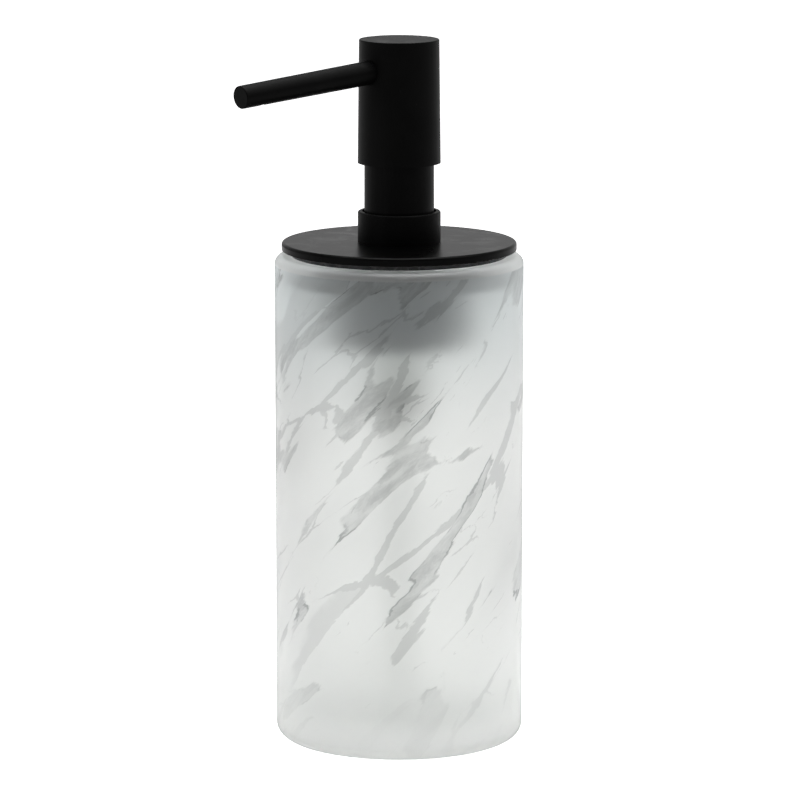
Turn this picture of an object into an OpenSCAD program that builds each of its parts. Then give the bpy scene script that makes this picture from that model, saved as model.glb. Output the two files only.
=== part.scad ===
// Refillable lotion dispenser: a thick glass bottle, a plugged-in lid and a press-down pump.
// Millimetres. +Z is up along the bottle's axis, the origin is the middle of the foot,
// and the spout points along -X.

/* [Bottle] */
// Outside diameter of the bottle
bottle_d = 70; // [62:1:90]
// Height of the bottle
bottle_h = 138; // [110:0.5:190]
// Thickness of the side wall
bottle_wall = 6; // [4.5:0.5:7.5]
// Thickness of the glass floor
bottle_floor = 8; // [5:0.5:14]
// Radius of the outside foot edge
foot_round = 4; // [1:0.5:6]
// Radius of the outside rim edge
rim_round = 2.3; // [0.6:0.1:3.5]
// Radius of the inside rim edge
mouth_round = 0.8; // [0.2:0.1:1.2]
// Radius where the inside wall meets the floor
floor_fillet = 3; // [1:0.5:6]

/* [Lid] */
// Thickness of the lid disc
disc_t = 2.4; // [1.5:0.1:5]
// How far the disc's edge stays inside the bottle's outside
disc_inset = 2; // [0:0.1:3.5]
// Radius of the disc's top edge
disc_edge = 0.8; // [0.1:0.05:0.9]
// Radius of the disc's bottom edge
disc_foot_edge = 0.3; // [0.1:0.05:0.5]
// Height of the disc above the bottle's rim
rim_gap = 1.45; // [0.4:0.05:2.5]

/* [Seal plug] */
// Thickness of the plug's web under the disc
seal_web_t = 1.6; // [1:0.1:2.5]
// Depth of the plug below the disc
seal_depth = 9; // [6:0.5:14]
// Thickness of the plug's skirt
seal_skirt_t = 2.2; // [1.5:0.1:3]
// Number of lips round the skirt
seal_lips = 3; // [1:1:3]
// How far each lip stands out of the skirt
lip_h = 0.4; // [0.2:0.05:0.6]
// How far the plug's flange reaches out over the rim
seal_flange_w = 1.3; // [1:0.1:3.5]

/* [Stroke] */
// Travel of the head
stroke = 13; // [8:0.5:16]
// Gap between head and collar at the end of the stroke
press_gap = 0.6; // [0.5:0.1:2]
// Length of sleeve inside the collar at rest
sleeve_overlap = 3.6; // [2:0.2:6]

/* [Collar] */
// Height of the collar above the disc
collar_h = 8.6; // [6:0.5:14]
// Width of the collar's seat on the disc, outside the neck
collar_shoulder = 0.75; // [0.5:0.05:3]
// Thickness of the threaded neck below the collar
neck_wall = 0.77; // [0.6:0.01:2]
// Distance between thread ridges
thread_pitch = 2; // [1.5:0.1:3]
// Height of a thread ridge
thread_h = 0.25; // [0.15:0.05:0.3]
// Radius of the collar's top edge
collar_edge = 0.5; // [0.1:0.1:0.6]

/* [Clamp nut] */
// Thickness of the nut's flange and of its inner seat
nut_flange_t = 2; // [1.2:0.2:3]
// How far the grip skirt stands off the thread
nut_reach = 8; // [3.5:0.1:9]
// Thickness of the grip skirt and of the threaded tube
nut_wall = 1.6; // [1.2:0.1:2]
// How far the flange stands out past the grip skirt
nut_brim = 1; // [0.75:0.25:3]
// Length of the grip skirt below the inner seat
nut_tail = 14.2; // [6:0.2:20]
// Number of grip ribs
grip_ribs = 24; // [12:2:36]

/* [Head] */
// Outside diameter of the sleeve
sleeve_d = 19.62; // [17:0.02:24]
// Wall of the sleeve
sleeve_wall = 1; // [0.8:0.1:1.4]
// How far the head's foot stands out past the sleeve
head_step = 1.82; // [1.5:0.02:3]
// Height of the head
head_h = 34.6; // [33:0.1:45]
// How much the head narrows from foot to top, on each side
head_draft = 0.4; // [0:0.1:1]
// Side wall of the head shell
head_wall = 1.3; // [0.8:0.1:1.4]
// Top wall of the head shell
head_top_t = 1.6; // [1:0.1:2.5]
// Radius of the head's top edge
head_edge = 0.3; // [0.2:0.1:1]

/* [Spout] */
// Reach of the spout from the pump's axis
spout_reach = 56.3; // [35:0.1:75]
// Diameter of the spout where it leaves the head
spout_root_d = 6.8; // [6:0.1:8.2]
// Diameter of the spout at its tip
spout_tip_d = 6.4; // [5:0.1:6.8]
// Angle by which the spout drops below level
spout_drop = 4.4; // [0:0.1:8]
// Depth of the spout's axis below the head's top, at the pump's axis
spout_depth = 7.8; // [6.5:0.1:9]
// Diameter of the channel in the spout
spout_bore_d = 3.4; // [2:0.1:4.2]
// Diameter of the outlet under the tip
outlet_d = 3; // [1.5:0.1:3.4]
// Distance from the tip to the middle of the outlet
outlet_back = 6.5; // [4:0.1:9]

/* [Pump] */
// Outside diameter of the stem
stem_d = 6.9; // [6:0.1:8.4]
// Diameter of the channel in the stem
stem_bore_d = 4.2; // [3.4:0.1:4.6]
// Width of the seat that carries the housing, inside the neck's outside
housing_seat = 1.6; // [1:0.1:2.2]
// Wall of the housing
housing_wall = 1.4; // [1:0.1:1.8]
// Height of the piston
piston_h = 6; // [4.5:0.1:8]
// Diameter of the inlet ball
inlet_ball_d = 5; // [4:0.1:6]
// Diameter of the outlet ball
outlet_ball_d = 4.4; // [4:0.1:5]
// Lift of both balls
ball_lift = 1.2; // [0.6:0.1:2]
// Wire diameter of the spring
wire_d = 1; // [0.7:0.05:1.1]
// Turns of the spring
spring_turns = 6.5; // [5:0.5:7]
// Outside diameter of the dip tube
tube_d = 6; // [5:0.1:7.2]
// Wall of the dip tube
tube_wall = 0.8; // [0.5:0.1:1]
// Height of the dip tube's foot above the bottle's floor
tube_gap = 3; // [1:0.5:10]

/* [Clearances] */
// Between a shaft and the hole that guides it
run_fit = 0.05; // [0.02:0.01:0.08]
// Between a piece and the piece it is held in
hold_fit = 0.05; // [0.02:0.01:0.1]
// Between the sleeve and the neck's bore
sleeve_gap = 0.3; // [0.2:0.02:0.5]
// Between the sleeve and the collar's mouth
mouth_gap = 0.62; // [0.4:0.02:0.7]
// Left under the sleeve at the end of the stroke
well_spare = 2; // [1:0.5:4]
// Left under the piston clip at the end of the stroke
chamber_spare = 4.2; // [3:0.2:8]
// Left under the head core at the end of the stroke
guide_spare = 4.7; // [2:0.1:7]
// Between the piston and the chaplet's skirt at rest
top_stop_gap = 0.3; // [0.2:0.1:0.6]

/* [Hidden] */
$fn = 96;

// A cut reaches this far past the surface it opens.
past = 1;

// Radii, worked out from the bottle inwards and from the sleeve outwards
bottle_r = bottle_d / 2;
bore_r = bottle_r - bottle_wall;
disc_r = bottle_r - disc_inset;
seal_r = bore_r - run_fit;
seal_skirt_r = seal_r - lip_h;
sleeve_r = sleeve_d / 2;
sleeve_bore_r = sleeve_r - sleeve_wall;
well_r = sleeve_r + sleeve_gap;
mouth_r = sleeve_r + mouth_gap;
neck_r = well_r + neck_wall;
neck_hole_r = neck_r + hold_fit;
collar_r = neck_r + collar_shoulder;
nut_skirt_r = neck_hole_r + nut_reach;
housing_r = neck_r - housing_seat;
housing_bore_r = housing_r - housing_wall;
clamped_r = neck_r - 2 * hold_fit;
head_foot_r = sleeve_r + head_step;
head_top_r = head_foot_r - head_draft;
stem_r = stem_d / 2;
stem_hole_r = stem_r + run_fit;
stem_bore_r = stem_bore_d / 2;

// Heights above the foot, from the lid up
disc_z = bottle_h + rim_gap;
disc_top_z = disc_z + disc_t;
collar_top_z = disc_top_z + collar_h;
head_z = collar_top_z + stroke + press_gap;
head_top_z = head_z + head_h;
spout_z = head_top_z - spout_depth;

// Heights above the foot, from the collar down
sleeve_z = collar_top_z - sleeve_overlap;
chaplet_t = 1.6;
gasket_t = 1;
housing_flange_t = 2;
well_z = sleeve_z - stroke - well_spare;
gasket_top_z = well_z - chaplet_t;
housing_top_z = gasket_top_z - gasket_t;
nut_seat_z = housing_top_z - housing_flange_t;
nut_z = nut_seat_z - nut_tail;
nut_top_z = disc_z - seal_web_t;
chaplet_skirt_h = 4.4;
piston_top_z = gasket_top_z - chaplet_skirt_h - top_stop_gap;
piston_z = piston_top_z - piston_h;
clip_flange_t = 1;
clip_z = piston_z - clip_flange_t;

// Inlet ball in its cage, on the edge of the housing's inlet
inlet_ball_r = inlet_ball_d / 2;
inlet_r = inlet_ball_r * 0.68;
inlet_seat_rise = sqrt(inlet_ball_r * inlet_ball_r - inlet_r * inlet_r);
cage_bore_r = inlet_ball_r + 0.45;
cage_r = cage_bore_r + 1.35;
cage_flange_t = 1.6;
cage_cap_t = 1;
cage_room = inlet_seat_rise + inlet_ball_r + ball_lift + 2 * run_fit;
cage_h = cage_room + cage_cap_t;
chamber_z = clip_z - stroke - chamber_spare - cage_h;
inlet_ball_z = chamber_z + inlet_seat_rise + run_fit;

// Foot of the housing and the dip tube
housing_floor_t = 2;
housing_cone_h = 3;
spigot_wall = 1.3;
tube_r = tube_d / 2;
tube_hole_r = tube_r + hold_fit;
spigot_r = tube_hole_r + spigot_wall;
socket_depth = 7;
housing_foot_z = chamber_z - housing_floor_t;
socket_top_z = housing_foot_z - 0.7;
spigot_z = socket_top_z - socket_depth;
tube_z = bottle_floor + tube_gap;
tube_cut_angle = 30;

// Spring between the cage's flange and the piston clip
wire_r = wire_d / 2;
spring_play = 1.5;
spring_r = housing_bore_r - spring_play - wire_r;
spring_z = chamber_z + cage_flange_t;
spring_len = clip_z - spring_z;
closed_turns = 0.75;
coil_sides = 8;
coil_steps = 18;

// Outlet ball above the stem, inside the head core
outlet_ball_r = outlet_ball_d / 2;
outlet_seat_r = outlet_ball_r * 0.68;
outlet_seat_rise = sqrt(outlet_ball_r * outlet_ball_r - outlet_seat_r * outlet_seat_r);
outlet_room_r = outlet_ball_r + 0.4;
outlet_room = outlet_seat_rise + outlet_ball_r + ball_lift + 2 * run_fit;
core_foot_rise = 1.5;
stem_in_core = 6.8;
core_z = head_z + core_foot_rise;
stem_top_z = core_z + stem_in_core;
core_room_top_z = stem_top_z + run_fit + outlet_room;
core_web_z = core_room_top_z + 1;
core_web_t = 2;
core_tube_r = stem_hole_r + 1.7;
core_channel_r = 1.5;
shell_ceiling_z = head_top_z - head_top_t;
boss_r = 6.4;
fin_t = 1.2;
outlet_ball_z = stem_top_z + outlet_seat_rise + run_fit;
guide_top_z = core_z - stroke - guide_spare;

// Spout, along its own axis from the pump's axis
spout_len = spout_reach / cos(spout_drop);
spout_root = 2.6;
spout_root_r = spout_root_d / 2;
spout_tip_r = spout_tip_d / 2;
spout_bore_r = spout_bore_d / 2;
spout_hole_r = spout_root_r + hold_fit;
spout_tip_edge = 0.3;
spout_bore_end = spout_len - outlet_back + outlet_d / 2 + 0.5;

black = [0.07, 0.07, 0.075];
natural = [0.9, 0.9, 0.87];
steel = [0.72, 0.73, 0.74];

// Half-section of a ring from radius r0 to r1 and height z0 to z1
module band(r0, r1, z0, z1) {
    translate([r0, z0]) square([r1 - r0, z1 - z0]);
}

// Half-section of a solid drum whose outside edges are rounded
module drum(r, z0, z1, low, high) {
    band(0, r, z0 + low, z1 - high);
    band(0, r - low, z0, z0 + low);
    band(0, r - high, z1 - high, z1);
    translate([r - low, z0 + low]) circle(low);
    translate([r - high, z1 - high]) circle(high);
}

// Part of a half-section that rounds the inside edge of a hole whose mouth is at height z
module mouth_flare(r, z, round) {
    translate([r, z - round]) difference() {
        translate([-past, 0]) square([past + round, round + past]);
        translate([round, 0]) circle(round);
        translate([round, -past]) square([past, round + 3 * past]);
    }
}

// Puts +Z of its children along the spout, starting on the pump's axis
module along_spout() {
    translate([0, 0, spout_z]) rotate([0, -90 - spout_drop, 0]) children();
}

module bottle() {
    color([0.86, 0.88, 0.87, 0.6])
        rotate_extrude() difference() {
            drum(bottle_r, 0, bottle_h, foot_round, rim_round);
            band(0, bore_r - floor_fillet, bottle_floor, bottle_h + past);
            band(0, bore_r, bottle_floor + floor_fillet, bottle_h + past);
            translate([bore_r - floor_fillet, bottle_floor + floor_fillet]) circle(floor_fillet);
            mouth_flare(bore_r, bottle_h, mouth_round);
        }
}

module lid_disc() {
    color(black)
        rotate_extrude() difference() {
            drum(disc_r, disc_z, disc_top_z, disc_foot_edge, disc_edge);
            band(0, neck_hole_r, disc_z - past, disc_top_z + past);
        }
}

module seal_plug() {
    web_z = disc_z - seal_web_t;
    foot_z = disc_z - seal_depth;
    lip_step = (web_z - foot_z) / seal_lips;
    color([0.78, 0.8, 0.8])
        rotate_extrude() {
            band(neck_hole_r + 2 * hold_fit, seal_r, web_z, disc_z);
            band(seal_r - seal_skirt_t, seal_skirt_r, foot_z, disc_z);
            // The flange lies between the rim and the disc.
            band(seal_r - seal_skirt_t, bore_r + seal_flange_w, bottle_h + hold_fit, disc_z);
            for (i = [0:seal_lips - 1])
                translate([seal_skirt_r, foot_z + (i + 0.4) * lip_step]) circle(lip_h);
        }
}

module collar() {
    mouth_depth = 2;
    ridge_w = 0.8;
    root_r = neck_r - thread_h;
    color(black)
        rotate_extrude() difference() {
            union() {
                band(0, collar_r, disc_top_z, collar_top_z - collar_edge);
                band(0, collar_r - collar_edge, disc_top_z, collar_top_z);
                translate([collar_r - collar_edge, collar_top_z - collar_edge]) circle(collar_edge);
                band(0, root_r, well_z, disc_top_z);
                band(0, neck_r, disc_z, disc_top_z);
                for (z = [well_z + ridge_w:thread_pitch:disc_z - ridge_w])
                    band(0, neck_r, z, z + ridge_w);
            }
            band(0, well_r, well_z - past, collar_top_z + past);
            polygon([[0, collar_top_z - mouth_depth - mouth_r + well_r],
                [well_r, collar_top_z - mouth_depth - mouth_r + well_r],
                [mouth_r, collar_top_z - mouth_depth],
                [mouth_r, collar_top_z + past], [0, collar_top_z + past]]);
        }
}

module clamp_nut() {
    web_z = nut_top_z - nut_flange_t;
    shelf_z = nut_seat_z - nut_flange_t;
    tube_out_r = neck_hole_r + nut_wall;
    rib_r = 0.6;
    color(black) {
        rotate_extrude() {
            band(neck_hole_r, nut_skirt_r + nut_brim, web_z, nut_top_z);
            band(nut_skirt_r - nut_wall, nut_skirt_r, nut_z, nut_top_z);
            band(neck_hole_r, tube_out_r, shelf_z, nut_top_z);
            band(housing_r + 2 * hold_fit, tube_out_r, shelf_z, nut_seat_z);
        }
        for (i = [0:grip_ribs - 1])
            rotate([0, 0, i * 360 / grip_ribs]) translate([nut_skirt_r, 0, nut_z])
                cylinder(r = rib_r, h = web_z - nut_z, $fn = 8);
    }
}

module chaplet() {
    skirt_t = 1.15;
    guide_r = stem_hole_r + 1.9;
    color(natural)
        rotate_extrude() {
            band(stem_hole_r, clamped_r, gasket_top_z, well_z);
            band(stem_hole_r, guide_r, gasket_top_z, guide_top_z);
            band(housing_bore_r - hold_fit - skirt_t, housing_bore_r - hold_fit,
                gasket_top_z - chaplet_skirt_h, well_z);
        }
}

module housing_gasket() {
    color([0.85, 0.85, 0.83])
        rotate_extrude() band(housing_bore_r + 2 * hold_fit, clamped_r, housing_top_z, gasket_top_z);
}

module housing() {
    cone_z = housing_foot_z - housing_cone_h + housing_floor_t;
    vent_r = 0.75;
    vent_z = piston_top_z - piston_h / 2;
    color(natural)
        difference() {
            rotate_extrude() polygon([
                [tube_hole_r, spigot_z],
                [spigot_r, spigot_z],
                [spigot_r, cone_z],
                [housing_r, cone_z + housing_cone_h],
                [housing_r, nut_seat_z],
                [clamped_r, nut_seat_z],
                [clamped_r, housing_top_z],
                [housing_bore_r, housing_top_z],
                [housing_bore_r, chamber_z],
                [inlet_r, chamber_z],
                [inlet_r, socket_top_z],
                [tube_hole_r, socket_top_z]]);
            translate([0, 0, vent_z]) rotate([0, 90, 0])
                cylinder(r = vent_r, h = housing_r + past);
        }
}

module ball_cage() {
    window_w = 2.2;
    window_z = spring_z + 0.6;
    window_h = chamber_z + cage_room - window_z;
    hole_r = 1.4;
    color(natural)
        difference() {
            rotate_extrude() {
                band(cage_bore_r, housing_bore_r - hold_fit, chamber_z, spring_z);
                band(cage_bore_r, cage_r, chamber_z, chamber_z + cage_h);
                band(hole_r, cage_r, chamber_z + cage_room, chamber_z + cage_h);
            }
            for (turn = [0, 90])
                rotate([0, 0, turn])
                    translate([-cage_r - past, -window_w / 2, window_z])
                        cube([2 * (cage_r + past), window_w, window_h]);
        }
}

module inlet_ball() {
    color(steel) translate([0, 0, inlet_ball_z]) sphere(inlet_ball_r);
}

module dip_tube() {
    color(natural)
        difference() {
            rotate_extrude() band(tube_r - tube_wall, tube_r, tube_z, socket_top_z);
            translate([-tube_r, 0, tube_z]) rotate([0, -tube_cut_angle, 0])
                translate([-tube_d, -tube_d, -2 * tube_d]) cube([4 * tube_d, 2 * tube_d, 2 * tube_d]);
        }
}

// Height of the wire's middle after a number of turns: closed ends, even pitch between
function coil_z(turn) =
    let (flat = wire_d * 1.04,
         low = spring_z + wire_r,
         high = clip_z - wire_r,
         open_turns = spring_turns - 2 * closed_turns,
         rise = (high - low - 2 * closed_turns * flat) / open_turns)
    turn < closed_turns ? low + turn * flat
    : turn > spring_turns - closed_turns ? high - (spring_turns - turn) * flat
    : low + closed_turns * flat + (turn - closed_turns) * rise;

module spring() {
    rings = round(spring_turns * coil_steps);
    points = [for (i = [0:rings], j = [0:coil_sides - 1])
        let (turn = i / coil_steps,
             a = 360 * turn,
             b = 360 * j / coil_sides,
             r = spring_r + wire_r * cos(b))
        [r * cos(a), r * sin(a), coil_z(turn) + wire_r * sin(b)]];
    walls = [for (i = [0:rings - 1], j = [0:coil_sides - 1])
        let (k = (j + 1) % coil_sides,
             a = i * coil_sides,
             b = a + coil_sides)
        each [[a + j, b + j, b + k], [a + j, b + k, a + k]]];
    first = [for (j = [0:coil_sides - 1]) j];
    last = [for (j = [coil_sides - 1:-1:0]) rings * coil_sides + j];
    color(steel) polyhedron(points, concat(walls, [first, last]));
}

module piston() {
    lip_r = housing_bore_r - run_fit;
    waist_r = lip_r - 0.9;
    lip_t = 0.6;
    taper = 1.2;
    color([0.93, 0.93, 0.9])
        rotate_extrude() polygon([
            [stem_hole_r, piston_z],
            [lip_r, piston_z],
            [lip_r, piston_z + lip_t],
            [waist_r, piston_z + lip_t + taper],
            [waist_r, piston_top_z - lip_t - taper],
            [lip_r, piston_top_z - lip_t],
            [lip_r, piston_top_z],
            [stem_hole_r, piston_top_z]]);
}

module piston_clip() {
    plug_h = 5;
    channel_r = 1.3;
    color(natural)
        rotate_extrude() {
            band(channel_r, spring_r + wire_r, clip_z, piston_z);
            band(channel_r, stem_bore_r - hold_fit, clip_z, piston_z + plug_h);
        }
}

module stem() {
    shoulder_r = stem_r + 1.35;
    shoulder_t = 1.2;
    seat_t = 1;
    color(natural)
        rotate_extrude() {
            band(stem_bore_r, stem_r, piston_z, stem_top_z);
            band(stem_bore_r, shoulder_r, piston_top_z, piston_top_z + shoulder_t);
            band(outlet_seat_r, stem_r, stem_top_z - seat_t, stem_top_z);
        }
}

module outlet_ball() {
    color(steel) translate([0, 0, outlet_ball_z]) sphere(outlet_ball_r);
}

module head_core() {
    plug_h = 4;
    fin_z = core_web_z + core_web_t;
    fin_r = head_top_r - head_wall - 0.2;
    color(black)
        difference() {
            union() {
                rotate_extrude() {
                    band(0, sleeve_r - 0.1, core_web_z, core_web_z + core_web_t);
                    band(0, sleeve_bore_r - hold_fit, core_web_z - plug_h, core_web_z);
                    band(0, core_tube_r, core_z, core_web_z);
                    band(0, boss_r, core_web_z, shell_ceiling_z);
                }
                for (turn = [45:90:315])
                    rotate([0, 0, turn]) translate([0, -fin_t / 2, core_web_z])
                        cube([fin_r, fin_t, spout_z - core_web_z]);
            }
            translate([0, 0, core_z - past])
                cylinder(r = stem_hole_r, h = stem_top_z + run_fit - core_z + past);
            translate([0, 0, stem_top_z])
                cylinder(r = outlet_room_r, h = run_fit + outlet_room);
            translate([0, 0, core_room_top_z - past])
                cylinder(r = core_channel_r, h = spout_z - core_room_top_z + past);
            along_spout() cylinder(r = core_channel_r, h = spout_root + past);
            along_spout() translate([0, 0, spout_root]) cylinder(r = spout_hole_r, h = boss_r);
        }
}

module sleeve() {
    flange_rise = 0.3;
    flange_t = 1.2;
    flange_z = head_z + flange_rise;
    top_r = sleeve_r - 0.1;
    color(black)
        rotate_extrude() {
            polygon([[sleeve_bore_r, sleeve_z], [sleeve_r, sleeve_z], [top_r, core_web_z],
                [sleeve_bore_r, core_web_z]]);
            band(sleeve_bore_r, head_foot_r - head_wall - hold_fit, flange_z, flange_z + flange_t);
        }
}

module head_shell() {
    edge_z = head_top_z - head_edge;
    cavity_top_r = head_top_r - head_wall;
    cavity_foot_r = head_foot_r - head_wall + head_draft * 0.04;
    color(black)
        difference() {
            rotate_extrude() difference() {
                union() {
                    polygon([[0, head_z], [head_foot_r, head_z], [head_top_r, edge_z], [0, edge_z]]);
                    band(0, head_top_r - head_edge, edge_z - past, head_top_z);
                    translate([head_top_r - head_edge, edge_z]) circle(head_edge);
                }
                polygon([[0, head_z - past], [cavity_foot_r, head_z - past],
                    [cavity_top_r, shell_ceiling_z], [0, shell_ceiling_z]]);
            }
            along_spout() translate([0, 0, boss_r + past]) cylinder(r = spout_hole_r, h = head_foot_r);
        }
}

module spout() {
    color(black)
        difference() {
            along_spout() rotate_extrude() {
                polygon([[0, spout_root], [spout_root_r, spout_root],
                    [spout_tip_r, spout_len - spout_tip_edge], [0, spout_len - spout_tip_edge]]);
                band(0, spout_tip_r - spout_tip_edge, spout_len - past, spout_len);
                translate([spout_tip_r - spout_tip_edge, spout_len - spout_tip_edge])
                    circle(spout_tip_edge);
            }
            along_spout() translate([0, 0, spout_root - past])
                cylinder(r = spout_bore_r, h = spout_bore_end - spout_root + past);
            along_spout() translate([0, 0, spout_len - outlet_back]) rotate([0, -90, 0])
                cylinder(r = outlet_d / 2, h = spout_root_r + past);
        }
}

bottle();
lid_disc();
seal_plug();
collar();
clamp_nut();
chaplet();
housing_gasket();
housing();
ball_cage();
inlet_ball();
dip_tube();
spring();
piston();
piston_clip();
stem();
outlet_ball();
head_core();
sleeve();
head_shell();
spout();
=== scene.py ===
"""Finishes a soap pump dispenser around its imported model.

The bottle is frosted glass with a marble look printed on it, the lid and pump are
satin black, and the pump's inner works are natural plastic, silicone and steel.
Lengths are in metres unless a name or comment says millimetres.
"""

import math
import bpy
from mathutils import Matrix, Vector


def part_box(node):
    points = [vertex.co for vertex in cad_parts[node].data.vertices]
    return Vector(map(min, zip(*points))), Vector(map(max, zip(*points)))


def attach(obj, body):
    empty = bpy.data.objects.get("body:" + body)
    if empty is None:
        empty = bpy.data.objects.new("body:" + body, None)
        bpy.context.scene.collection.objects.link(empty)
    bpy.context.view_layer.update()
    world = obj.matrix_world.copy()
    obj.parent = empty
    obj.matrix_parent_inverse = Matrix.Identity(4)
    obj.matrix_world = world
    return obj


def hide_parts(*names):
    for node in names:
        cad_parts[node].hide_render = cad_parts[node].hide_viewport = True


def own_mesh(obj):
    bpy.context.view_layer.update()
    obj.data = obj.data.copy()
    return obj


bl_info = {
    "name": "Soap Pump Dispenser",
    "version": (1, 0, 0),
    "blender": (4, 5, 0),
    "location": "3D View > Sidebar > Dispenser",
    "description": "Finishes and lights a marble-look soap pump dispenser",
    "category": "Object",
}

import bmesh
import bpy
from bpy.props import (
    FloatProperty,
    FloatVectorProperty,
    IntProperty,
    PointerProperty,
)
from mathutils import Matrix, Vector

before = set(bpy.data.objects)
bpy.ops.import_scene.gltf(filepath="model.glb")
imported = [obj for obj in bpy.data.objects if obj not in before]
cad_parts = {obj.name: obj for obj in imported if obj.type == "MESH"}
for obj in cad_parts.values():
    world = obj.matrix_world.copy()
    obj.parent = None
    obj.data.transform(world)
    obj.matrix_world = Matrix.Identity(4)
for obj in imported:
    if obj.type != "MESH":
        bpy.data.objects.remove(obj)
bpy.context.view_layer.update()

MM = 0.001
BOTTLE_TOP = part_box("bottle")[1]
SPRING_LOW, SPRING_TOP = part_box("spring")


# Sizes and colours that a user may change


def colour_setting(name, what, rgb):
    return FloatVectorProperty(
        name=name, description=what, subtype="COLOR", size=3, min=0, max=1, default=rgb
    )


def length_setting(name, what, value):
    return FloatProperty(
        name=name,
        description=what,
        subtype="DISTANCE",
        unit="LENGTH",
        min=0,
        default=value,
        precision=4,
    )


def share_setting(name, what, value):
    return FloatProperty(
        name=name, description=what, subtype="FACTOR", min=0, max=1, default=value
    )


def power_setting(name, what, watts):
    return FloatProperty(
        name=name, description=what, subtype="POWER", unit="POWER", min=0, default=watts
    )


def angle_setting(name, what, degrees):
    return FloatProperty(
        name=name, description=what, subtype="ANGLE", default=math.radians(degrees)
    )


class DispenserBottle(bpy.types.PropertyGroup):
    """The printed bottle"""

    print_white: colour_setting("Print white", "Ground of the marble", (0.964, 0.972, 0.961))
    # Colour of the painted shade on the print under the lid, towards the mouth
    print_mouth_shade: colour_setting("Painted shade at the mouth", "Darker, cooler ground painted as the lid's shade", (0.765, 0.815, 0.822))
    print_foot: colour_setting("Print at the foot", "Slightly greyer ground", (0.829, 0.836, 0.826))
    vein_grey: colour_setting("Vein grey", "Colour of the marble's veins", (0.15, 0.16, 0.16))
    glass_tint: colour_setting("Glass tint", "Colour of the bare glass", (0.867, 0.876, 0.866))
    climb: angle_setting("Vein climb", "How steeply the veins rise round the bottle", 48)
    wall: length_setting("Wall", "Thickness of the glass wall", 6 * MM)
    floor: length_setting("Floor", "Thickness of the glass floor", 8 * MM)
    bare_rim: length_setting("Bare rim", "Height below the mouth without print", 2.5 * MM)
    # Height below the mouth over which that painted shade fades in
    thickened: length_setting("Thickened print", "Height of the painted shade below the mouth", 50 * MM)
    frosting: share_setting("Frosting", "Roughness of the outside of the glass", 0.5)
    etching: share_setting("Etching", "Roughness of the inside of the glass", 0.5)
    foot_frosting: share_setting("Foot frosting", "Roughness added outside at the foot", 0.4)
    foot_etching: share_setting("Foot etching", "Roughness added inside at the foot", 0.45)
    foot_coarse: length_setting("Coarse foot", "Height in which that roughness fades", 18 * MM)
    foot_print: length_setting("Foot print", "Height in which the foot's print fades", 32 * MM)
    clearness: share_setting("Clearness", "How much light the glass passes", 0.92)


class DispenserPump(bpy.types.PropertyGroup):
    """The lid and pump"""

    shell_black: colour_setting("Pump black", "Collar, sleeve, head, spout", (0.001, 0.001, 0.001))
    lid_black: colour_setting("Lid black", "Coated lid disc", (0.001, 0.001, 0.001))
    inner_black: colour_setting("Inner black", "Clamp nut and head core", (0.01, 0.016, 0.019))
    shell_sheen: share_setting("Pump sheen", "Specular level of the pump", 0.03)
    lid_sheen: share_setting("Lid sheen", "Specular level of the lid", 0.03)


class DispenserSpring(bpy.types.PropertyGroup):
    """The return spring"""

    wire: length_setting("Wire", "Diameter of the wire", 1.0 * MM)
    turns: FloatProperty(name="Turns", description="Turns of the coil", min=2, default=6.5)
    closed: FloatProperty(
        name="Closed turns", description="Turns that lie flat at each end", min=0.25, default=0.75
    )
    sides: IntProperty(name="Wire sides", description="Sides of the wire", min=6, default=14)
    steps: IntProperty(name="Steps", description="Rings in a turn", min=12, default=40)


class DispenserStage(bpy.types.PropertyGroup):
    """Floor, light and camera"""

    azimuth: angle_setting("Azimuth", "Camera's turn about the dispenser", -40)
    elevation: angle_setting("Elevation", "Camera's height above level", 10.29)
    distance: length_setting("Distance", "From the camera to the dispenser", 1.362)
    aim: length_setting("Aim height", "Height that the camera looks at", 0.0965)
    aside: length_setting("Aim aside", "How far right of the axis it looks", 0.226 * MM)
    lens: FloatProperty(
        name="Lens", description="Focal length", subtype="DISTANCE_CAMERA", default=217.2
    )
    floor: length_setting("Floor", "Half the floor's width", 6.0)
    sky: FloatProperty(name="Sky", description="Brightness of the surroundings", default=1.15)
    zenith: share_setting("Zenith", "Share of the sky's light overhead", 0.4)
    front: share_setting("Front", "Share of the sky's light on the camera's side", 0.2)
    glow: FloatProperty(name="Floor glow", description="Light given off by the floor", default=0.8)
    key: power_setting("Key light", "Power of the soft box in front", 4)
    fill: power_setting("Fill light", "Power of the soft box on the left", 1.5)
    glint: power_setting("Glint", "Power of the overhead box, which only shows in gloss", 20)


# Shader nodes


def put(tree, kind, feeds=None, out=0, **settings):
    """Adds a node, sets its properties, and feeds its inputs with values or sockets."""
    made = tree.nodes.new(kind)
    for name, value in settings.items():
        setattr(made, name, value)
    for name, value in (feeds or {}).items():
        if isinstance(value, bpy.types.NodeSocket):
            tree.links.new(value, made.inputs[name])
        else:
            made.inputs[name].default_value = value
    return None if out is None else made.outputs[out]


def maths(tree, what, a, b=0.0, c=0.0, clamp=False):
    return put(tree, "ShaderNodeMath", {0: a, 1: b, 2: c}, operation=what, use_clamp=clamp)


def vector_maths(tree, what, a, b=(0, 0, 0), scale=1.0):
    feeds = {0: a, "Scale": scale} if what == "SCALE" else {0: a, 1: b}
    return put(tree, "ShaderNodeVectorMath", feeds, operation=what)


def dot(tree, a, b):
    feeds = {0: a, 1: b}
    return put(tree, "ShaderNodeVectorMath", feeds, out="Value", operation="DOT_PRODUCT")


def noise(tree, place, per_mm, detail=2.0, rough=0.5, out="Fac", bend=0.0):
    """Noise whose features are about 1 / per_mm millimetres across."""
    feeds = {
        "Vector": place,
        "Scale": per_mm,
        "Detail": detail,
        "Roughness": rough,
        "Distortion": bend,
    }
    return put(tree, "ShaderNodeTexNoise", feeds, out=out)


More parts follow.
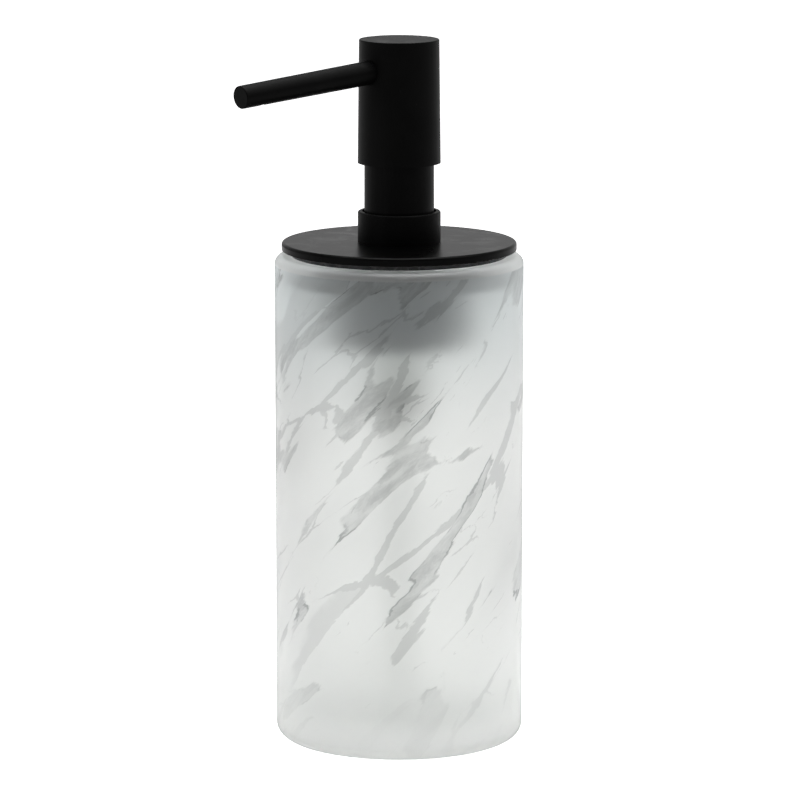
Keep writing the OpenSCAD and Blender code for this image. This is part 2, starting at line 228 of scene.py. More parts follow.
def ramp(tree, value, low, high, to_low=0.0, to_high=1.0, how="SMOOTHSTEP"):
    """Maps low..high to to_low..to_high and stops there."""
    feeds = {
        "Value": value,
        "From Min": low,
        "From Max": high,
        "To Min": to_low,
        "To Max": to_high,
    }
    return put(tree, "ShaderNodeMapRange", feeds, interpolation_type=how, clamp=True)


def mix(tree, share, a, b, how="MIX"):
    """Mixes two colours."""
    feeds = {0: share, 6: a, 7: b}
    return put(
        tree, "ShaderNodeMix", feeds, out=2, data_type="RGBA", blend_type=how, clamp_factor=True
    )


def mix_number(tree, share, a, b):
    return put(tree, "ShaderNodeMix", {0: share, 2: a, 3: b}, out=0, data_type="FLOAT")


def rgba(colour):
    return (*colour, 1.0)


def in_millimetres(tree):
    """The piece's own coordinates in millimetres."""
    place = put(tree, "ShaderNodeTexCoord", out="Object")
    return vector_maths(tree, "SCALE", place, scale=1000.0)


def parts_of(tree, place):
    """X, Y and Z of a point, and its distance from the pump's axis."""
    split = tree.nodes.new("ShaderNodeSeparateXYZ")
    tree.links.new(place, split.inputs[0])
    x, y, z = split.outputs
    flat = put(tree, "ShaderNodeCombineXYZ", {0: x, 1: y})
    away = put(tree, "ShaderNodeVectorMath", {0: flat}, out="Value", operation="LENGTH")
    return x, y, z, away


def new_group(name, inputs, outputs):
    """A shader node group. Each input is a name and a default number, or None for a vector."""
    tree = bpy.data.node_groups.new(name, "ShaderNodeTree")
    for label, value in inputs:
        kind = "NodeSocketVector" if value is None else "NodeSocketFloat"
        socket = tree.interface.new_socket(label, in_out="INPUT", socket_type=kind)
        if value is not None:
            socket.default_value = value
    for label, kind in outputs:
        tree.interface.new_socket(label, in_out="OUTPUT", socket_type=kind)
    given = tree.nodes.new("NodeGroupInput").outputs
    result = tree.nodes.new("NodeGroupOutput").inputs
    return tree, given, result


# Each shared group's getter, by the group's plain name
SHARED = {}


def use_group(tree, name, feeds):
    """Places a group in a material and returns its outputs."""
    made = tree.nodes.new("ShaderNodeGroup")
    made.node_tree = SHARED[name]()
    for label, value in feeds.items():
        if isinstance(value, bpy.types.NodeSocket):
            tree.links.new(value, made.inputs[label])
        else:
            made.inputs[label].default_value = value
    return made.outputs


def built_once(make):
    """Makes a shared group the first time that it's asked for."""
    name = make.__name__.replace("_", " ").title()

    def get():
        return bpy.data.node_groups.get(name) or make(name)

    SHARED[make.__name__] = get
    return get


@built_once
def fine_grain(name):
    """Even moulded or sprayed grain: a height for bump, and a slow mottle."""
    tree, given, result = new_group(
        name,
        [("Vector", None), ("Size", 0.3), ("Depth", 1.0)],
        [("Height", "NodeSocketFloat"), ("Mottle", "NodeSocketFloat")],
    )
    per_mm = maths(tree, "DIVIDE", 1.0, given["Size"])
    coarse = noise(tree, given["Vector"], per_mm, 2.0, 0.6)
    finer = noise(tree, given["Vector"], maths(tree, "MULTIPLY", per_mm, 2.7), 1.0, 0.5)
    both = maths(tree, "MULTIPLY_ADD", finer, 0.4, coarse)
    tree.links.new(maths(tree, "MULTIPLY", both, given["Depth"]), result["Height"])
    slow = noise(tree, given["Vector"], maths(tree, "MULTIPLY", per_mm, 0.03), 3.0, 0.55)
    tree.links.new(ramp(tree, slow, 0.3, 0.7), result["Mottle"])
    return tree


@built_once
def handling_marks(name):
    """Faint wipe marks and finger smudges, as a share from 0 to 1."""
    tree, given, result = new_group(
        name,
        [("Vector", None), ("Size", 9.0), ("Amount", 0.5)],
        [("Marks", "NodeSocketFloat")],
    )
    per_mm = maths(tree, "DIVIDE", 1.0, given["Size"])
    smudge = noise(tree, given["Vector"], per_mm, 4.0, 0.6, bend=0.8)
    smudge = ramp(tree, smudge, 0.48, 0.72)
    wiped = put(
        tree,
        "ShaderNodeMapping",
        {"Vector": given["Vector"], "Rotation": (0.3, 0.5, 0.9), "Scale": (3.2, 0.14, 0.5)},
    )
    wipe = ramp(tree, noise(tree, wiped, 0.5, 2.0, 0.7), 0.55, 0.8)
    both = maths(tree, "MAXIMUM", smudge, maths(tree, "MULTIPLY", wipe, 0.6))
    tree.links.new(maths(tree, "MULTIPLY", both, given["Amount"]), result["Marks"])
    return tree


@built_once
def mould_flow(name):
    """Streaks that run up a moulding or down drawn tube, from 0 to 1."""
    tree, given, result = new_group(
        name,
        [("Vector", None), ("Width", 0.6), ("Length", 12.0)],
        [("Streak", "NodeSocketFloat"), ("Cloud", "NodeSocketFloat")],
    )
    x, y, z, _ = parts_of(tree, given["Vector"])
    across = maths(tree, "DIVIDE", 1.0, given["Width"])
    along = maths(tree, "DIVIDE", z, given["Length"])
    stretched = put(
        tree,
        "ShaderNodeCombineXYZ",
        {
            0: maths(tree, "MULTIPLY", x, across),
            1: maths(tree, "MULTIPLY", y, across),
            2: along,
        },
    )
    streak = noise(tree, stretched, 1.0, 3.0, 0.6)
    tree.links.new(ramp(tree, streak, 0.3, 0.7), result["Streak"])
    cloud = noise(tree, given["Vector"], 0.22, 3.0, 0.5)
    tree.links.new(ramp(tree, cloud, 0.3, 0.7), result["Cloud"])
    return tree


@built_once
def marble_veins(name):
    """Grey veins of a white marble that climb round the bottle.

    Turn is how far they go round, in radians, in a millimetre of height. Lengths are in
    millimetres, and a scale per_mm is one over the size of what it draws.
    """
    tree, given, result = new_group(
        name,
        [("Vector", None), ("Turn", 0.026)],
        [("Vein", "NodeSocketFloat"), ("Haze", "NodeSocketFloat")],
    )
    _, _, z, _ = parts_of(tree, given["Vector"])
    # Turning each level by its height makes the veins climb; the stretch draws them out.
    back = maths(tree, "MULTIPLY", z, maths(tree, "MULTIPLY", given["Turn"], -1.0))
    twisted = put(
        tree,
        "ShaderNodeVectorRotate",
        {"Vector": given["Vector"], "Angle": back},
        rotation_type="Z_AXIS",
    )

    def stretched(place, along):
        feeds = {"Vector": place, "Location": (17.0, 29.0, 140.0), "Scale": (1.0, 1.0, along)}
        return put(tree, "ShaderNodeMapping", feeds)

    def wobble(place, per_mm, reach, detail):
        """Pushes points about by up to half of reach."""
        push = noise(tree, place, per_mm, detail, 0.55, out="Color")
        push = vector_maths(tree, "SUBTRACT", push, (0.5, 0.5, 0.5))
        return vector_maths(tree, "ADD", place, vector_maths(tree, "SCALE", push, scale=reach))

    drawn = stretched(twisted, 0.55)
    bent = wobble(drawn, 0.07, 8.0, 1.0)
    bent = wobble(bent, 0.33, 2.8, 2.0)
    bent = wobble(bent, 1.5, 0.8, 2.0)

    def cells(per_mm, feature, out):
        feeds = {"Vector": bent, "Scale": per_mm, "Randomness": 1.0}
        return put(tree, "ShaderNodeTexVoronoi", feeds, out=out, feature=feature)

    def inside(per_mm, width):
        """How far a point is within a vein of this half width along the cells' edges."""
        off = maths(tree, "DIVIDE", cells(per_mm, "DISTANCE_TO_EDGE", "Distance"), per_mm)
        return maths(tree, "SUBTRACT", width, off)

    # Broad veins that swell, pinch and stop, darker along parts of their edges.
    swell = ramp(tree, noise(tree, drawn, 0.05, 2.0, 0.5), 0.42, 0.74, -0.4, 4.6)
    within = inside(0.031, swell)
    main = ramp(tree, within, -0.4, 0.4)
    from_line = maths(tree, "ABSOLUTE", maths(tree, "SUBTRACT", within, 0.3))
    lining = ramp(tree, from_line, 0.12, 0.4, 1.0, 0.0)
    lined = ramp(tree, noise(tree, bent, 0.11, 2.0, 0.6), 0.48, 0.6)
    lining = maths(tree, "MULTIPLY", lining, lined)
    body = ramp(tree, noise(tree, bent, 0.2, 4.0, 0.65), 0.3, 0.7, 0.24, 0.66)

    # Thinner branches, and hairline cracks between them.
    thin = ramp(tree, noise(tree, drawn, 0.062, 1.0, 0.5, bend=0.4), 0.4, 0.66, -0.35, 1.05)
    branch = ramp(tree, inside(0.052, thin), -0.2, 0.2)
    hair = ramp(tree, noise(tree, drawn, 0.08, 2.0, 0.5, bend=0.2), 0.47, 0.68, -0.25, 0.4)
    crack = ramp(tree, inside(0.1, hair), -0.14, 0.14)

    # Some cells fill with pale grey that fades out across them.
    cell = put(tree, "ShaderNodeSeparateColor", {0: cells(0.052, "F1", "Color")}, out=0)
    filled = ramp(tree, cell, 0.78, 0.79)
    fade = ramp(tree, noise(tree, bent, 0.07, 2.0, 0.5), 0.42, 0.56)
    patch = maths(tree, "MULTIPLY", filled, fade)

    # Short strokes run with the veins where the stone is busy.
    strokes = noise(tree, stretched(bent, 0.28), 0.62, 2.0, 0.55)
    busy = ramp(tree, noise(tree, drawn, 0.045, 1.0, 0.5, bend=0.3), 0.52, 0.66, 0.0, 0.1)
    stroke = ramp(tree, maths(tree, "ADD", strokes, busy), 0.735, 0.775)

    layers = (
        (lining, 0.85),
        (branch, 0.42),
        (crack, 0.36),
        (patch, 0.28),
        (stroke, 0.34),
    )
    veins = maths(tree, "MULTIPLY", main, body)
    for layer, strength in layers:
        veins = maths(tree, "MAXIMUM", veins, maths(tree, "MULTIPLY", layer, strength))
    # The veins thin out towards the foot.
    fading = maths(tree, "MULTIPLY_ADD", noise(tree, drawn, 0.06, 1.0), 24.0, z)
    veins = maths(tree, "MULTIPLY", veins, ramp(tree, fading, 18.0, 46.0, 0.12, 1.0))
    tree.links.new(veins, result["Vein"])
    haze = ramp(tree, noise(tree, drawn, 0.035, 3.0, 0.55), 0.42, 0.75)
    tree.links.new(haze, result["Haze"])
    return tree


def new_material(name, base, rough, **constants):
    """A material with one Principled shader. Constants are set on the shader's own sockets."""
    material = bpy.data.materials.new(name)
    material.use_nodes = True
    tree = material.node_tree
    shader = tree.nodes["Principled BSDF"]
    shader.inputs["Base Color"].default_value = rgba(base)
    shader.inputs["Roughness"].default_value = rough
    for label, value in constants.items():
        shader.inputs[label.replace("_", " ")].default_value = value
    material.diffuse_color = rgba(base)
    return material, tree, shader


def feed(tree, shader, label, socket):
    tree.links.new(socket, shader.inputs[label])


def add_bump(tree, shader, height, distance_mm, strength=1.0):
    """Raises the surface by up to distance_mm where height is one."""
    feeds = {"Height": height, "Strength": strength, "Distance": distance_mm * MM}
    feed(tree, shader, "Normal", put(tree, "ShaderNodeBump", feeds, out="Normal"))


def dress(material, *nodes):
    """Gives CAD nodes a finish through their objects' own slots."""
    for name in nodes:
        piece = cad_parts[name]
        for slot in piece.material_slots:
            slot.link = "OBJECT"
            slot.material = material


# Finishes

GLASS_IOR = 1.46
PLASTIC_IOR = 1.49
SILICONE_IOR = 1.41


def marble_on_glass(look):
    """Frosted glass with the marble printed outside, bare at the rim and inside."""
    material, tree, shader = new_material(
        "Marble Print On Frosted Glass",
        look.glass_tint,
        look.frosting,
        Transmission_Weight=look.clearness,
        IOR=GLASS_IOR,
    )
    place = in_millimetres(tree)
    _, _, z, away = parts_of(tree, place)
    bore = (BOTTLE_TOP.x - look.wall) / MM
    floor = look.floor / MM
    print_top = (BOTTLE_TOP.z - look.bare_rim) / MM

    # The outside is what lies beyond the bore, or well below the top of the floor.
    wall = ramp(tree, away, bore + 0.5, bore + 1.1)
    underside = ramp(tree, z, floor - 5.0, floor - 4.0, 1.0, 0.0)
    outside = maths(tree, "MAXIMUM", wall, underside)
    edge = noise(tree, place, 1.4, 2.0, 0.5)
    ragged = maths(tree, "MULTIPLY_ADD", edge, 0.3, z)
    below_rim = ramp(tree, ragged, print_top, print_top + 0.5, 1.0, 0.0)
    printed = maths(tree, "MULTIPLY", wall, below_rim)

    turn = 1.0 / math.tan(look.climb) / (BOTTLE_TOP.x / MM)
    veins = use_group(tree, "marble_veins", {"Vector": place, "Turn": turn})
    hazy = rgba([c * 0.93 for c in look.print_white])
    ground = mix(tree, veins["Haze"], rgba(look.print_white), hazy)
    # The print's ground is darkened and cooled towards the mouth, a painted shade for the shadow of
    # the lid and pump, and it is a little greyer at the foot.
    painted_shade = ramp(tree, z, print_top - look.thickened / MM, print_top)
    ground = mix(tree, painted_shade, ground, rgba(look.print_mouth_shade))
    low = ramp(tree, z, floor, floor + look.foot_print / MM, 1.0, 0.0)
    ground = mix(tree, low, ground, rgba(look.print_foot))
    marble = mix(tree, veins["Vein"], ground, rgba(look.vein_grey))
    feed(tree, shader, "Base Color", mix(tree, printed, rgba(look.glass_tint), marble))

    grain = use_group(tree, "fine_grain", {"Vector": place, "Size": 0.35})
    frost = maths(tree, "MULTIPLY_ADD", grain["Mottle"], -0.06, look.frosting)
    # The inside is etched up to the print's top and polished above it.
    polished = 0.07
    below_top = ramp(tree, z, print_top - 1.0, print_top, 1.0, 0.0)
    etched = maths(tree, "MULTIPLY", below_top, look.etching)
    inside = maths(tree, "MULTIPLY_ADD", etched, 1.0 - polished, polished)
    # Coarser frosting round the foot hides the edge of the glass floor.
    footing = ramp(tree, z, floor, floor + look.foot_coarse / MM, 1.0, 0.0)
    inside = maths(tree, "MULTIPLY_ADD", footing, look.foot_etching, inside)
    frost = maths(tree, "MULTIPLY_ADD", footing, look.foot_frosting, frost)
    feed(tree, shader, "Roughness", mix_number(tree, outside, inside, frost))
    add_bump(tree, shader, maths(tree, "MULTIPLY", grain["Height"], outside), 0.012, 0.5)
    return material


def satin_black(name, base, rough, sheen, grain_mm, depth_mm, flow_amount=0.0):
    """Satin black moulding or coating with fine grain, slow mottle and faint marks."""
    material, tree, shader = new_material(name, base, rough, Specular_IOR_Level=sheen)
    place = in_millimetres(tree)
    grain = use_group(tree, "fine_grain", {"Vector": place, "Size": grain_mm})
    marks = use_group(tree, "handling_marks", {"Vector": place, "Amount": 0.6})
    flow = use_group(tree, "mould_flow", {"Vector": place, "Width": 0.8, "Length": 25.0})
    dark, light, smudged = (rgba([c * share for c in base]) for share in (0.8, 1.35, 2.2))
    tone = mix(tree, grain["Mottle"], dark, light)
    smudge = maths(tree, "MULTIPLY", marks["Marks"], 0.35)
    feed(tree, shader, "Base Color", mix(tree, smudge, tone, smudged))
    # Handling polishes the finish a little, and flow lines roughen it.
    worn = maths(tree, "MULTIPLY_ADD", marks["Marks"], -0.1, rough + 0.03)
    worn = maths(tree, "MULTIPLY_ADD", flow["Streak"], flow_amount, worn)
    feed(tree, shader, "Roughness", worn)
    add_bump(tree, shader, grain["Height"], depth_mm, 0.6)
    return material


def cloudy_plastic(name, base, clear, rough, width, cloud_amount):
    """Natural plastic that lets light through, with cloud in it and flow lines on it."""
    material, tree, shader = new_material(
        name, base, rough, Transmission_Weight=clear, IOR=PLASTIC_IOR
    )
    place = in_millimetres(tree)
    flow = use_group(tree, "mould_flow", {"Vector": place, "Width": width, "Length": 9.0})
    grain = use_group(tree, "fine_grain", {"Vector": place, "Size": 0.5})
    milky = rgba([1 - (1 - c) * (1 + cloud_amount) for c in base])
    feed(tree, shader, "Base Color", mix(tree, flow["Cloud"], rgba(base), milky))
    feed(tree, shader, "Roughness", maths(tree, "MULTIPLY_ADD", flow["Streak"], 0.14, rough - 0.05))
    height = maths(tree, "MULTIPLY_ADD", flow["Streak"], 0.7, grain["Height"])
    add_bump(tree, shader, height, 0.008, 0.6)
    return material


def silicone(name, base):
    """Smoky silicone with a soft skin that holds dust."""
    material, tree, shader = new_material(
        name, base, 0.45, Transmission_Weight=0.75, IOR=SILICONE_IOR
    )
    place = in_millimetres(tree)
    grain = use_group(tree, "fine_grain", {"Vector": place, "Size": 0.25})
    marks = use_group(tree, "handling_marks", {"Vector": place, "Size": 4.0, "Amount": 0.7})
    # The flange above the mouth is painted much darker, a painted shade for the shadow under the
    # lid disc.
    _, _, z, _ = parts_of(tree, place)
    mouth = BOTTLE_TOP.z / MM
    painted_shade, dusty = rgba([c * 0.1 for c in base]), rgba([0.1 + c for c in base])
    # Painted shade: the base colour turns to its darkened copy above the mouth
    tone = mix(tree, ramp(tree, z, mouth - 0.5, mouth), rgba(base), painted_shade)
    dust = maths(tree, "MULTIPLY", marks["Marks"], 0.2)
    feed(tree, shader, "Base Color", mix(tree, dust, tone, dusty))
    feed(tree, shader, "Roughness", maths(tree, "MULTIPLY_ADD", grain["Mottle"], 0.15, 0.38))
    add_bump(tree, shader, grain["Height"], 0.01, 0.5)
    return material


def soft_white(name, base):
    """Soft white sealing plastic, a little waxy and turned smooth."""
    material, tree, shader = new_material(name, base, 0.42, Specular_IOR_Level=0.45)
    place = in_millimetres(tree)
    grain = use_group(tree, "fine_grain", {"Vector": place, "Size": 0.4})
    flow = use_group(tree, "mould_flow", {"Vector": place, "Width": 5.0, "Length": 0.25})
    shade = rgba([c * 0.93 for c in base])
    feed(tree, shader, "Base Color", mix(tree, grain["Mottle"], rgba(base), shade))
    feed(tree, shader, "Roughness", maths(tree, "MULTIPLY_ADD", flow["Streak"], 0.12, 0.36))
    add_bump(tree, shader, flow["Streak"], 0.006, 0.6)
    return material


def bright_steel(name, base, rough, width, length):
    """Bright steel with fine draw or polishing lines."""
    material, tree, shader = new_material(name, base, rough, Metallic=1.0)
    place = in_millimetres(tree)
    lines = use_group(tree, "mould_flow", {"Vector": place, "Width": width, "Length": length})
    grain = use_group(tree, "fine_grain", {"Vector": place, "Size": 0.15})
    dull = rgba([c * 0.82 for c in base])
    feed(tree, shader, "Base Color", mix(tree, lines["Cloud"], rgba(base), dull))
    lined = maths(tree, "MULTIPLY_ADD", lines["Streak"], 0.16, rough - 0.06)
    feed(tree, shader, "Roughness", lined)
    height = maths(tree, "MULTIPLY_ADD", lines["Streak"], 0.8, grain["Height"])
    add_bump(tree, shader, height, 0.002, 0.5)
    return material


# New pieces


def finish_piece(name, bm, material):
    """Turns a bmesh into a piece at the origin."""
    mesh = bpy.data.meshes.new(name)
    bm.to_mesh(mesh)
    bm.free()
    mesh.materials.append(material)
    piece = bpy.data.objects.new(name, mesh)
    bpy.context.scene.collection.objects.link(piece)
    return piece


def wind_spring(size):
    """Winds the wire: closed turns, open turns at an even pitch, closed turns."""
    wire_r = size.wire / 2
    mean_r = SPRING_TOP.x - wire_r
    low = SPRING_LOW.z + wire_r
    high = SPRING_TOP.z - wire_r
    # Closed turns lie against each other with a hair between them.
    flat = size.wire * 1.04
    open_turns = size.turns - 2 * size.closed
    pitch = (high - low - 2 * size.closed * flat) / open_turns
    bm = bmesh.new()
    start = Matrix.Translation((mean_r, 0, low)) @ Matrix.Rotation(math.pi / 2, 4, "X")
    bmesh.ops.create_circle(bm, cap_ends=False, radius=wire_r, segments=size.sides, matrix=start)
    first = list(bm.edges)
    ring = first
    for turns, rise in ((size.closed, flat), (open_turns, pitch), (size.closed, flat)):
        steps = round(turns * size.steps)
        spun = bmesh.ops.spin(
            bm,
            geom=ring,
            cent=(0, 0, 0),
            axis=(0, 0, 1),
            dvec=(0, 0, rise * turns / steps),
            angle=turns * math.tau,
            steps=steps,
        )
        ring = [g for g in spun["geom_last"] if isinstance(g, bmesh.types.BMEdge)]
    for end in (first, ring):
        cap = bmesh.ops.edgeloop_fill(bm, edges=end)["faces"]
        bmesh.ops.inset_region(bm, faces=cap, thickness=wire_r * 0.25, depth=wire_r * 0.2)
    bmesh.ops.remove_doubles(bm, verts=bm.verts, dist=1e-7)
    bmesh.ops.recalc_face_normals(bm, faces=bm.faces)
    for face in bm.faces:
        face.smooth = True
    return bm


# Operators


class DISPENSER_OT_bottle(bpy.types.Operator):
    """Print the marble on the frosted bottle"""

    bl_idname = "dispenser.bottle"
    bl_label = "Marble bottle"

    def execute(self, context):
        dress(marble_on_glass(context.scene.dispenser_bottle), "bottle")
        return {"FINISHED"}


class DISPENSER_OT_lid(bpy.types.Operator):
    """Coat the lid disc and give its plug smoky silicone"""

    bl_idname = "dispenser.lid"
    bl_label = "Lid and plug"

    def execute(self, context):
        look = context.scene.dispenser_pump
        coating = satin_black(
            "Satin Lid Coating",
            look.lid_black,
            rough=0.3,
            sheen=look.lid_sheen,
            grain_mm=0.22,
            depth_mm=0.006,
        )
        dress(coating, "lid_disc")
        dress(silicone("Smoky Silicone", (0.042, 0.052, 0.058)), "seal_plug")
        return {"FINISHED"}


class DISPENSER_OT_pump_shells(bpy.types.Operator):
    """Finish the collar, sleeve, head and spout in satin black"""

    bl_idname = "dispenser.pump_shells"
    bl_label = "Pump shells"

    def execute(self, context):
        look = context.scene.dispenser_pump
        # Each shell's finish, node, roughness, grain and its depth in millimetres, and flow
        shells = (
            ("Satin Collar", "collar", 0.4, 0.25, 0.005, 0.05),
            ("Satin Sleeve", "sleeve", 0.38, 0.2, 0.004, 0.08),
            ("Satin Head", "head_shell", 0.4, 0.25, 0.005, 0.05),
            ("Satin Spout", "spout", 0.42, 0.22, 0.005, 0.0),
        )
        black, sheen = look.shell_black, look.shell_sheen
        for name, node, rough, grain, depth, flow in shells:
            dress(satin_black(name, black, rough, sheen, grain, depth, flow), node)
        return {"FINISHED"}


class DISPENSER_OT_inner_mouldings(bpy.types.Operator):
    """Finish the clamp nut and the head's core in plain black plastic"""

    bl_idname = "dispenser.inner_mouldings"
    bl_label = "Inner mouldings"

    def execute(self, context):
        base = context.scene.dispenser_pump.inner_black
        # Each moulding's finish, node, roughness, sheen, grain in millimetres, and flow
        mouldings = (
            ("Ribbed Nut Plastic", "clamp_nut", 0.36, 0.12, 0.4, 0.12),
            ("Head Core Plastic", "head_core", 0.4, 0.2, 0.35, 0.1),
        )
        for name, node, rough, sheen, grain, flow in mouldings:
            dress(satin_black(name, base, rough, sheen, grain, 0.01, flow), node)
        return {"FINISHED"}


class DISPENSER_OT_clear_mouldings(bpy.types.Operator):
    """Finish the housing, chaplet, cage, tube, clip and stem in natural plastic"""

    bl_idname = "dispenser.clear_mouldings"
    bl_label = "Clear mouldings"

    def execute(self, context):
        natural = (0.93, 0.94, 0.92)
        # Each finish, its nodes and colour, how clear and rough it is, its flow lines'
        # width in millimetres, and how much milkier its clouds are
        mouldings = (
            ("Cloudy Housing", ("housing", "ball_cage"), natural, 0.95, 0.15, 0.9, 0.2),
            ("Cloudy Chaplet", ("chaplet",), natural, 0.45, 0.38, 1.2, 0.5),
            ("Drawn Tube", ("dip_tube",), (0.92, 0.93, 0.92), 0.88, 0.2, 0.35, 0.3),
            ("Cloudy Stem", ("stem", "piston_clip"), (0.9, 0.9, 0.88), 0.4, 0.32, 0.5, 0.5),
        )
        for name, nodes, base, clear, rough, width, clouds in mouldings:
            dress(cloudy_plastic(name, base, clear, rough, width, clouds), *nodes)
        return {"FINISHED"}


class DISPENSER_OT_white_seals(bpy.types.Operator):
    """Finish the piston and the housing's gasket in soft white plastic"""

    bl_idname = "dispenser.white_seals"
    bl_label = "White seals"

    def execute(self, context):
        dress(soft_white("Soft White Piston", (0.86, 0.86, 0.84)), "piston")
        dress(soft_white("Soft White Gasket", (0.8, 0.81, 0.8)), "housing_gasket")
        return {"FINISHED"}


class DISPENSER_OT_valve_balls(bpy.types.Operator):
    """Finish the two valve balls in bright steel"""

    bl_idname = "dispenser.valve_balls"
    bl_label = "Valve balls"

    def execute(self, context):
        balls = bright_steel("Ball Steel", (0.66, 0.67, 0.68), rough=0.16, width=1.5, length=1.5)
        dress(balls, "inlet_ball", "outlet_ball")
        return {"FINISHED"}


class DISPENSER_OT_spring(bpy.types.Operator):
    """Wind the return spring at its resting length"""

    bl_idname = "dispenser.spring"
    bl_label = "Return spring"

    def execute(self, context):
        wire = bright_steel("Spring Wire", (0.62, 0.63, 0.64), rough=0.24, width=0.35, length=0.35)
        bm = wind_spring(context.scene.dispenser_spring)
        piece = finish_piece("return_spring", bm, wire)
        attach(piece, "lid")
        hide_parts("spring")
        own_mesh(piece)
        return {"FINISHED"}


def lay_floor(stage):
    """A plain pale floor a hair below the foot, so that the two never share a face."""
    bm = bmesh.new()
    under = Matrix.Translation((0, 0, -0.05 * MM))
    bmesh.ops.create_grid(bm, x_segments=4, y_segments=4, size=stage.floor, matrix=under)
    material = bpy.data.materials.new("Pale Floor")
    material.use_nodes = True
    tree = material.node_tree
    tree.nodes.clear()
    place = in_millimetres(tree)
    tone = ramp(tree, noise(tree, place, 0.004, 2.0), 0.3, 0.7, 0.985, 1.0)
    # It looks burnt out to white, and what it throws at the dispenser glows a little too.
    seen = put(tree, "ShaderNodeLightPath", out="Is Camera Ray")
    white, burnt_out = 0.92, 3.0
    level = mix_number(tree, seen, white, burnt_out)
    grey = maths(tree, "MULTIPLY", level, tone)
    colour = put(tree, "ShaderNodeCombineColor", {0: grey, 1: grey, 2: grey})
    sheet = put(tree, "ShaderNodeBsdfDiffuse", {"Color": colour})
    glow = put(tree, "ShaderNodeEmission", {"Strength": mix_number(tree, seen, stage.glow, 0.0)})
    surface = put(tree, "ShaderNodeAddShader", {0: sheet, 1: glow})
    put(tree, "ShaderNodeOutputMaterial", {"Surface": surface}, out=None)
    floor = finish_piece("studio_floor", bm, material)


def light_sky(stage):
    """White surroundings, dimmer overhead, in front and a little on the left."""
    world = bpy.data.worlds.new("Studio")
    bpy.context.scene.world = world
    world.use_nodes = True
    tree = world.node_tree
    tree.nodes.clear()
    way = put(tree, "ShaderNodeTexCoord", out="Generated")
    _, _, up, _ = parts_of(tree, way)
    lift = ramp(tree, up, 0.0, 1.0, stage.sky, stage.sky * stage.zenith, "LINEAR")
    front = (math.sin(stage.azimuth), -math.cos(stage.azimuth), 0)
    dim = ramp(tree, dot(tree, way, front), -0.6, 0.9, 1.0, stage.front)
    right = (math.cos(stage.azimuth), math.sin(stage.azimuth), 0)
    lean = ramp(tree, dot(tree, way, right), -0.8, 0.8, 0.85, 1.0)
    lit = maths(tree, "MULTIPLY", lift, maths(tree, "MULTIPLY", dim, lean))
    seen = put(tree, "ShaderNodeLightPath", out="Is Camera Ray")
    strength = mix_number(tree, seen, lit, 1.05)
    surface = put(tree, "ShaderNodeBackground", {"Color": (1, 1, 1, 1), "Strength": strength})
    put(tree, "ShaderNodeOutputWorld", {"Surface": surface}, out=None)


def hang_soft_box(name, place, aim, width, height, power, glint=False):
    """An area light that faces a point and isn't seen itself. A glint only shows in gloss."""
    data = bpy.data.lights.new(name, "AREA")
    data.shape = "RECTANGLE"
    data.size, data.size_y = width, height
    data.energy = power
    lamp = bpy.data.objects.new(name, data)
    lamp.location = place
    lamp.rotation_euler = (Vector(aim) - Vector(place)).to_track_quat("-Z", "Y").to_euler()
    lamp.visible_camera = False
    lamp.visible_diffuse = not glint
    lamp.visible_transmission = not glint
    bpy.context.scene.collection.objects.link(lamp)


def aim_camera(stage):
    """A long lens a little above level, with the spout pointing left."""
    a, e = stage.azimuth, stage.elevation
    back = Vector((math.sin(a) * math.cos(e), -math.cos(a) * math.cos(e), math.sin(e)))
    right = Vector((math.cos(a), math.sin(a), 0))
    target = Vector((0, 0, stage.aim)) + right * stage.aside
    data = bpy.data.cameras.new("Camera")
    data.sensor_width = 36
    data.lens = stage.lens
    data.clip_start, data.clip_end = 0.05, 50
    camera = bpy.data.objects.new("Camera", data)
    camera.location = target + back * stage.distance
    camera.rotation_euler = (-back).to_track_quat("-Z", "Y").to_euler()
    bpy.context.scene.collection.objects.link(camera)
    bpy.context.scene.camera = camera


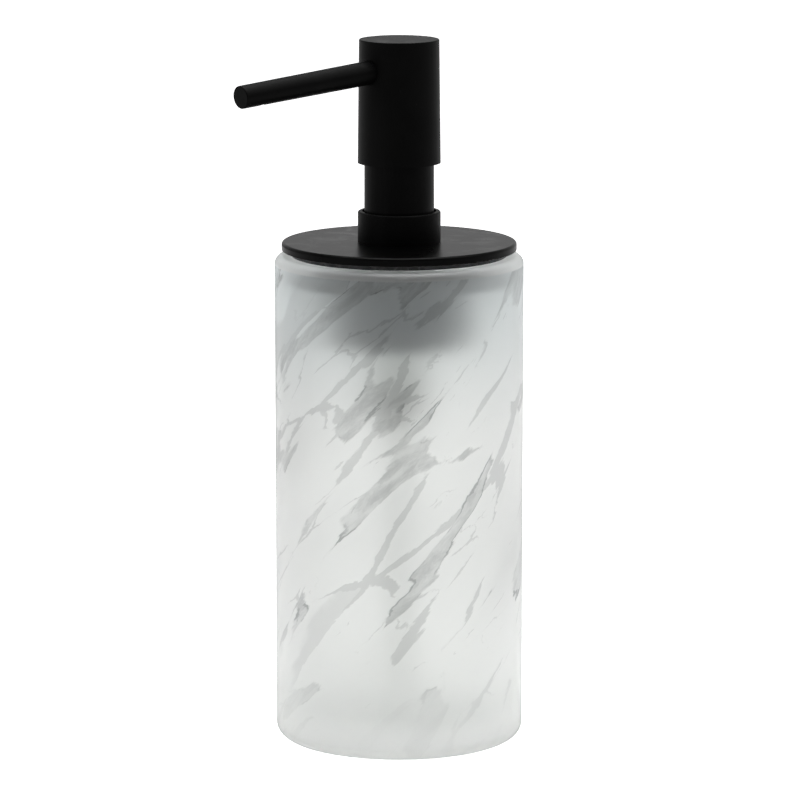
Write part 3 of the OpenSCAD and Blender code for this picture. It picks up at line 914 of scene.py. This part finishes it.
class DISPENSER_OT_stage(bpy.types.Operator):
    """Lay the floor, hang the lights and aim the camera"""

    bl_idname = "dispenser.stage"
    bl_label = "Stage"

    def execute(self, context):
        stage = context.scene.dispenser_stage
        context.scene.view_settings.view_transform = "Standard"
        lay_floor(stage)
        light_sky(stage)
        middle = (0, 0, stage.aim)
        hang_soft_box("Key Soft Box", (0.55, -0.75, 0.95), middle, 0.7, 0.7, stage.key)
        hang_soft_box("Side Soft Box", (-0.95, 0.1, 0.45), middle, 0.5, 0.9, stage.fill)
        hang_soft_box("Overhead Glint", (0, 0, 0.95), middle, 0.9, 0.9, stage.glint, glint=True)
        aim_camera(stage)
        return {"FINISHED"}


class DISPENSER_PT_panel(bpy.types.Panel):
    """Lists the dispenser's settings and steps"""

    bl_label = "Soap Pump Dispenser"
    bl_idname = "DISPENSER_PT_panel"
    bl_space_type = "VIEW_3D"
    bl_region_type = "UI"
    bl_category = "Dispenser"

    def draw(self, context):
        for group, _ in SETTINGS:
            box = self.layout.box()
            held = getattr(context.scene, group)
            for label in held.__annotations__:
                box.prop(held, label)
        for step in STEPS:
            self.layout.operator(step.bl_idname)


SETTINGS = (
    ("dispenser_bottle", DispenserBottle),
    ("dispenser_pump", DispenserPump),
    ("dispenser_spring", DispenserSpring),
    ("dispenser_stage", DispenserStage),
)
STEPS = (
    DISPENSER_OT_bottle,
    DISPENSER_OT_lid,
    DISPENSER_OT_pump_shells,
    DISPENSER_OT_inner_mouldings,
    DISPENSER_OT_clear_mouldings,
    DISPENSER_OT_white_seals,
    DISPENSER_OT_valve_balls,
    DISPENSER_OT_spring,
    DISPENSER_OT_stage,
)
CLASSES = (*(kind for _, kind in SETTINGS), *STEPS, DISPENSER_PT_panel)


def register():
    for kind in CLASSES:
        bpy.utils.register_class(kind)
    for name, kind in SETTINGS:
        setattr(bpy.types.Scene, name, PointerProperty(type=kind))


def unregister():
    for name, _ in SETTINGS:
        delattr(bpy.types.Scene, name)
    for kind in reversed(CLASSES):
        bpy.utils.unregister_class(kind)


def main():
    register()
    bpy.ops.dispenser.bottle()
    bpy.ops.dispenser.lid()
    bpy.ops.dispenser.pump_shells()
    bpy.ops.dispenser.inner_mouldings()
    bpy.ops.dispenser.clear_mouldings()
    bpy.ops.dispenser.white_seals()
    bpy.ops.dispenser.valve_balls()
    bpy.ops.dispenser.spring()
    bpy.ops.dispenser.stage()
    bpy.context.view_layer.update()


if __name__ == "__main__":
    main()
